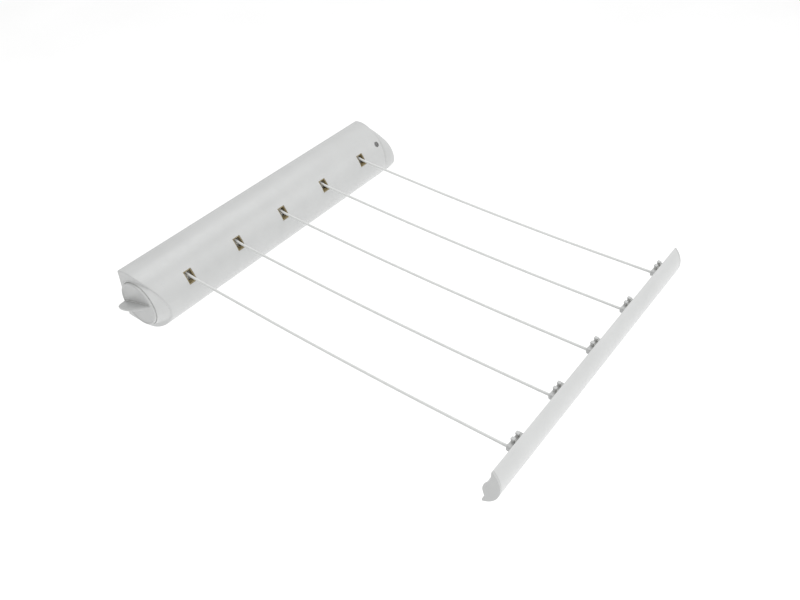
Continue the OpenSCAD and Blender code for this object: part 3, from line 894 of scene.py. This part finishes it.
def plate_angles(radius):
    """Top and bottom angle of the curved plate at a radius."""
    top = math.asin((BAR_TOP - BAR_C[1]) / radius)
    low = -math.acos((BAR_C[0] - BAR_TIP) / radius)
    return top, low


def thin_top():
    """The plate's thinned top edge, from the inner curve up to the top, as (y, z) points."""
    inner = BAR_R - BAR_T
    foot_z = BAR_C[1] + math.sqrt(inner ** 2 - (BAR_C[0] - BAR_TOP_BACK) ** 2)
    middle = (BAR_TOP_BACK + 0.05, (foot_z + BAR_TOP) / 2)
    return [(BAR_TOP_BACK, foot_z), middle, (BAR_TOP_BACK, BAR_TOP)]


def bar_outline():
    """Section of the bar: the curved plate with the grip rolled into its back."""
    inner = BAR_R - BAR_T
    top, low = plate_angles(BAR_R)
    inner_top = math.acos((BAR_C[0] - BAR_TOP_BACK) / inner)
    inner_low = plate_angles(inner)[1]
    upper, lower = crossings(inner, GRIP_R)
    grip_top, grip_low = angle_at(GRIP_C, upper), angle_at(GRIP_C, lower)
    points = arc(BAR_C, BAR_R, top, low, 46)
    points += arc(BAR_C, inner, inner_low, angle_at(BAR_C, lower), 12)
    points += arc(GRIP_C, GRIP_R, grip_low, grip_top - 2 * math.pi, 26)[1:-1]
    points += arc(BAR_C, inner, angle_at(BAR_C, upper), inner_top, 20)[:-1] + thin_top()
    return points


def bar_bore():
    """The hollow inside the grip, closed by the plate's inner curve."""
    inner = BAR_R - BAR_T
    upper, lower = crossings(inner, GRIP_BORE)
    round_grip = angle_at(GRIP_C, lower), angle_at(GRIP_C, upper) - 2 * math.pi
    points = arc(GRIP_C, GRIP_BORE, *round_grip, 24)
    return points + arc(BAR_C, inner, angle_at(BAR_C, upper), angle_at(BAR_C, lower), 6)[1:-1]


def prism(name, outline, x0, x1, holes=(), columns=2):
    """A solid of an outline in (y, z), with holes, between x0 and x1."""
    work = bmesh.new()
    xs = np.linspace(x0, x1, columns)
    ends = ([], [])
    for loop in (outline, *holes):
        rows = [[work.verts.new((x * MM, y * MM, z * MM)) for y, z in loop] for x in xs]
        for a, b in zip(rows, rows[1:]):
            for i in range(len(loop)):
                j = (i + 1) % len(loop)
                work.faces.new((a[i], a[j], b[j], b[i]))
        for k, row in ((0, rows[0]), (1, rows[-1])):
            ends[k].extend(work.edges.get((row[i], row[(i + 1) % len(row)])) for i in range(len(row)))
    for edges in ends:
        bmesh.ops.triangle_fill(work, edges=edges, use_beauty=True)
    bmesh.ops.recalc_face_normals(work, faces=work.faces)
    mesh = bpy.data.meshes.new(name)
    work.to_mesh(mesh)
    work.free()
    mesh.shade_smooth()
    mesh.set_sharp_from_angle(angle=math.radians(32))
    obj = bpy.data.objects.new(name, mesh)
    bpy.context.scene.collection.objects.link(obj)
    return obj


# Back edge of a bar end cap, from the lower lip up past the grip, in (Y, Z)
CAP_BACK = [(-458.7, -11.6), (-458.9, -8.6), (-460.4, -4.6), (-458.9, 0), (-457.8, 4.5), (-458.5, 10),
            (-461.3, 15), (-464.0, 20.5), (-464.7, 25), (-464.7, 31.9)]


def cap_outline():
    """Outline of a bar end cap: the plate with a web behind it that closes the grip."""
    top, low = plate_angles(BAR_R)
    return arc(BAR_C, BAR_R, top, low, 46) + [tuple(p) for p in smooth_path(CAP_BACK, 4)]


def pull_bar():
    """The bar and its two end caps."""
    low, high = box_mm("pull_bar")
    bar = prism("pull_bar_extrusion", bar_outline(), low[0], high[0], [bar_bore()], 9)
    add_bevel(bar, 0.15, 2, 50)
    place(bar, "bar", BAR, ["pull_bar"])
    for side, name in ((-1, "left_bar_cap"), (1, "right_bar_cap")):
        low, high = box_mm(name)
        cap = prism(f"{name}_moulding", cap_outline(), low[0], high[0])
        add_bevel(cap, 0.2, 2, 50)
        place(cap, "bar", CAP, [name])


def rounded_block(low, high, radius, segments=3):
    """Points and faces of a box with all its edges rounded."""
    work = bmesh.new()
    bmesh.ops.create_cube(work, size=1.0)
    low, high = np.array(low, float), np.array(high, float)
    for v in work.verts:
        v.co = Vector((low + high) / 2 + np.array(v.co) * (high - low))
    bmesh.ops.bevel(work, geom=list(work.edges), offset=radius, segments=segments, profile=0.5,
                    affect="EDGES")
    work.verts.ensure_lookup_table()
    verts = [tuple(v.co) for v in work.verts]
    faces = [tuple(v.index for v in f.verts) for f in work.faces]
    work.free()
    return verts, faces


CLEAT_Z = 23.5
CLEAT_PRONGS = (4.5, 12.5)  # X of the two prongs, from the line


def line_cleat(i, x):
    """A foot with an eye for the line, and two headed prongs."""
    verts, faces = [], []

    def add(part):
        shift = len(verts)
        verts.extend(part[0])
        faces.extend(tuple(v + shift for v in f) for f in part[1])

    add(rounded_block((x - 3, -469.4, CLEAT_Z - 3.2), (x + 19, -458, CLEAT_Z + 3.2), 1.2))
    for dx in CLEAT_PRONGS:
        add(rounded_block((x + dx - 1.3, -462, CLEAT_Z), (x + dx + 1.3, -458.8, CLEAT_Z + 7.4), 0.6))
        add(rounded_block((x + dx - 2, -462.4, CLEAT_Z + 6.5), (x + dx + 2, -458.4, CLEAT_Z + 8.1), 0.7))
    eye = []
    for r, y in ((1.7, -457.9), (2.6, -457.9), (2.75, -458.2), (2.75, -460), (1.7, -460)):
        angles = np.arange(24) * 2 * math.pi / 24
        eye.append([(x + r * math.cos(a), y, CLEAT_Z + r * math.sin(a)) for a in angles])
    add(loft(eye, closed=True))
    obj = new_object(f"line_cleat_moulding_{i}", verts, faces, 40)
    place(obj, "bar", CLEAT, [f"line_cleat_{i}"])


# ---------------------------------------------------------------- lines

def lines():
    """The five lines; each is a tube along the route from its guide to the bar."""
    for i, x in zip(LINES, SLOT_XS):
        route = smooth_path(LINE_ROUTE, ROUTE_STEPS)
        centre = np.column_stack([np.full(len(route), x), route])
        rings = tube(centre, LINE_D / 2, LINE_SIDES)
        obj = new_object(f"drying_line_{i}", *loft(rings, cap_start=True, cap_end=True), 50)
        obj.data.materials.append(LINE)
        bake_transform(obj)
        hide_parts(f"line_{i}")


CORE_R = 11.0     # radius of a reel's core
COIL_LAYERS = 3
COIL_TURNS = 12   # in each layer
TURN_STEPS = 24


def line_coils():
    """The rest of each line, wound to and fro on its reel."""
    for i, x in zip(LINES, SLOT_XS):
        half = COIL_TURNS * LINE_D / 2
        path = []
        for layer in range(COIL_LAYERS):
            radius = CORE_R + LINE_D / 2 + LINE_D * layer
            way = 1 if layer % 2 == 0 else -1
            turns = COIL_TURNS * TURN_STEPS
            for k in range(turns + (TURN_STEPS if layer < COIL_LAYERS - 1 else 1)):
                a = 2 * math.pi * (k + layer * (turns + TURN_STEPS)) / TURN_STEPS
                across = -half + LINE_D * min(k, turns) / TURN_STEPS
                lift = LINE_D * max(0, k - turns) / TURN_STEPS
                r = radius + lift
                path.append((x + way * across, AXIS_Y + r * math.cos(a), r * math.sin(a)))
        rings = tube(path, LINE_D / 2 - 0.02, 8)
        obj = new_object(f"line_winding_{i}", *loft(rings, cap_start=True, cap_end=True), 50)
        place(obj, "drum", WOUND_LINE_LIT, [f"line_coil_{i}"])


# ---------------------------------------------------------------- carried-over CAD pieces

CAD_LOOKS = [
    (INNER, ["left_bulkhead", "right_bulkhead", "spring_barrel", "brake_plate", "spring_arbor",
             "back_plate"]),
    (BEARING, ["left_bush", "right_bush", "cam_disc"]),
    (REEL, [f"reel_{i}" for i in LINES] + ["brake_wheel"]),
    (DARK_STEEL, ["retaining_rings"]),
    (DULL_STEEL, ["cap_screw"]),
    (BRIGHT_STEEL, ["bulkhead_screws", "brake_pins", "drum_shaft", "cam_screw"]),
    (SPRING_STEEL, ["power_spring", "release_springs"]),
    (RUBBER, ["brake_lining"]),
]


def dress_cad_nodes():
    """Gives the CAD nodes that stay in view, or inside, their materials."""
    for material, names in CAD_LOOKS:
        for name in names:
            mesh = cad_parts[name].data
            mesh.materials.clear()
            mesh.materials.append(material)


# ---------------------------------------------------------------- stage and light

FLOOR_Z = -750
FLOOR_CORNERS = [(-9000, -12000), (9000, -12000), (9000, 9000), (-9000, 9000)]


def make_stage():
    """A plain pale floor, well below the dryer."""
    floor = new_object("floor", [(x, y, FLOOR_Z) for x, y in FLOOR_CORNERS], [(0, 1, 2, 3)])
    n = Nodes("pale_floor")
    tone = n.ramp(n.noise(3.0), [(0.3, (0.93, 0.93, 0.93, 1)), (0.7, (0.96, 0.96, 0.96, 1))])
    n.join(tone, n.shader.inputs["Base Color"])
    n.shader.inputs["Roughness"].default_value = 0.9
    n.shader.inputs["Specular IOR Level"].default_value = 0.1
    n.shader.inputs["Emission Color"].default_value = WHITE
    n.shader.inputs["Emission Strength"].default_value = 0.27
    floor.data.materials.append(n.material)


def area_light(name, place_at, look_at, size, power):
    """A round soft light; places and size in metres, power in watts."""
    data = bpy.data.lights.new(name, "AREA")
    data.shape = "DISK"
    data.size = size
    data.energy = power
    light = bpy.data.objects.new(name, data)
    light.location = place_at
    light.rotation_mode = "QUATERNION"
    light.rotation_quaternion = (Vector(look_at) - Vector(place_at)).to_track_quat("-Z", "Y")
    bpy.context.scene.collection.objects.link(light)


def make_lights():
    """An even white surround and three soft lights."""
    world = bpy.data.worlds.new("soft_white")
    world.use_nodes = True
    background = world.node_tree.nodes["Background"]
    background.inputs["Color"].default_value = WHITE
    background.inputs["Strength"].default_value = 0.70
    bpy.context.scene.world = world
    middle = (0, -0.2, 0)
    area_light("key", (1.2, -1.6, 1.5), middle, 1.3, 7)
    area_light("top", (0.7, 0.4, 1.9), middle, 1.4, 11)
    area_light("front", (-0.3, -2.0, 0.8), middle, 1.2, 5.5)


front_shell()
left_cap()
right_cap()
line_guides()
turn_knob()
pull_bar()
for number, slot_at in zip(LINES, SLOT_XS):
    line_cleat(number, slot_at)
lines()
line_coils()
dress_cad_nodes()
make_stage()
make_lights()
bpy.context.scene.view_settings.view_transform = "Standard"
